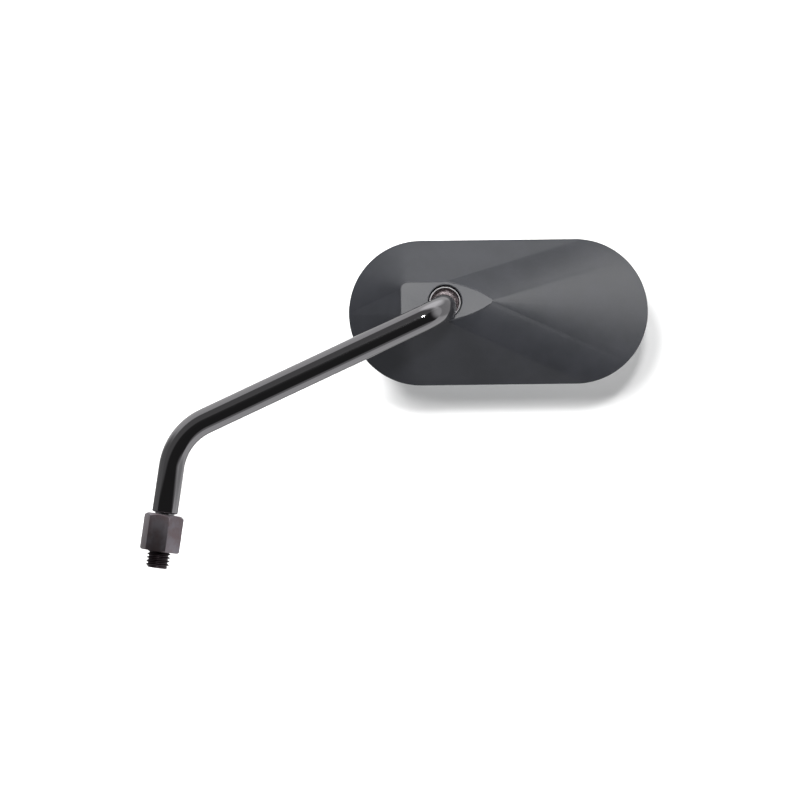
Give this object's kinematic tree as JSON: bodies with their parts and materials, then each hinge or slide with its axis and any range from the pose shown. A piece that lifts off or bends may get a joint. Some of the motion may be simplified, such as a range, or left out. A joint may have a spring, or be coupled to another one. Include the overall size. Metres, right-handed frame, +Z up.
{
  "type": "motorcycle rear-view mirror",
  "caption": "Oval convex mirror in a faceted back housing, on a ball joint at the end of a twice-bent round stem with a threaded foot and a tall lock nut.",
  "frame": {"origin": "on the axis of the foot's thread, at the face of the lock nut that seats on the perch", "axes": "+Z up along the thread, the thread's free end pointing to -Z; the glass looks along +Y and the back of the head along -Y; the stem leans to +X"},
  "size_m": [0.1999, 0.0476, 0.1646],
  "materials": {
    "black_rod": "gloss black",
    "black_nut": "black zinc plated",
    "ball_steel": "zinc plated",
    "ring_steel": "bright",
    "nylon": "smooth",
    "satin_black": "satin black",
    "zinc_plate": "zinc plated",
    "screw_steel": "zinc plated",
    "spring_steel": "phosphated",
    "black_plastic": "moulded",
    "foam": "closed-cell foam",
    "mirror_glass": "silvered",
    "black_rubber": "smooth"
  },
  "bodies": {
    "stem": {"stem": "black_rod", "ball": "ball_steel"},
    "nut": {"lock_nut": "black_nut"},
    "front_cup": {"front_cup": "nylon"},
    "rear_cup": {"rear_cup": "ring_steel"},
    "head": {"rear_shell": "satin_black", "clamp_plate": "zinc_plate", "clamp_screw_1": "screw_steel", "clamp_screw_2": "screw_steel", "clamp_screw_3": "screw_steel", "clamp_screw_4": "screw_steel", "spring_washer_1": "spring_steel", "spring_washer_2": "spring_steel", "spring_washer_3": "spring_steel", "spring_washer_4": "spring_steel", "glass_carrier": "black_plastic", "carrier_screw_1": "screw_steel", "carrier_screw_2": "screw_steel", "carrier_screw_3": "screw_steel", "carrier_screw_4": "screw_steel", "foam_pad": "foam", "glass": "mirror_glass", "glass_gasket": "black_rubber"}
  },
  "joints": [
    {"name": "lock_nut_turn", "type": "hinge", "parent": "stem", "child": "nut", "pos_m": [0, 0, 0], "axis": [0, 0, 1], "continuous": true},
    {"name": "head_spin", "type": "hinge", "parent": "stem", "child": "front_cup", "pos_m": [0.10466, 0.02335, 0.12123], "axis": [-0.0324, -0.9935, -0.1089], "continuous": true},
    {"name": "head_pitch", "type": "hinge", "parent": "front_cup", "child": "rear_cup", "pos_m": [0.10466, 0.02335, 0.12123], "axis": [0.9877, 0, 0.1564], "range_deg": [-2, 23]},
    {"name": "head_yaw", "type": "hinge", "parent": "rear_cup", "child": "head", "pos_m": [0.10466, 0.02335, 0.12123], "axis": [-0.1564, 0, 0.9877], "range_deg": [-9, 9]}
  ]
}
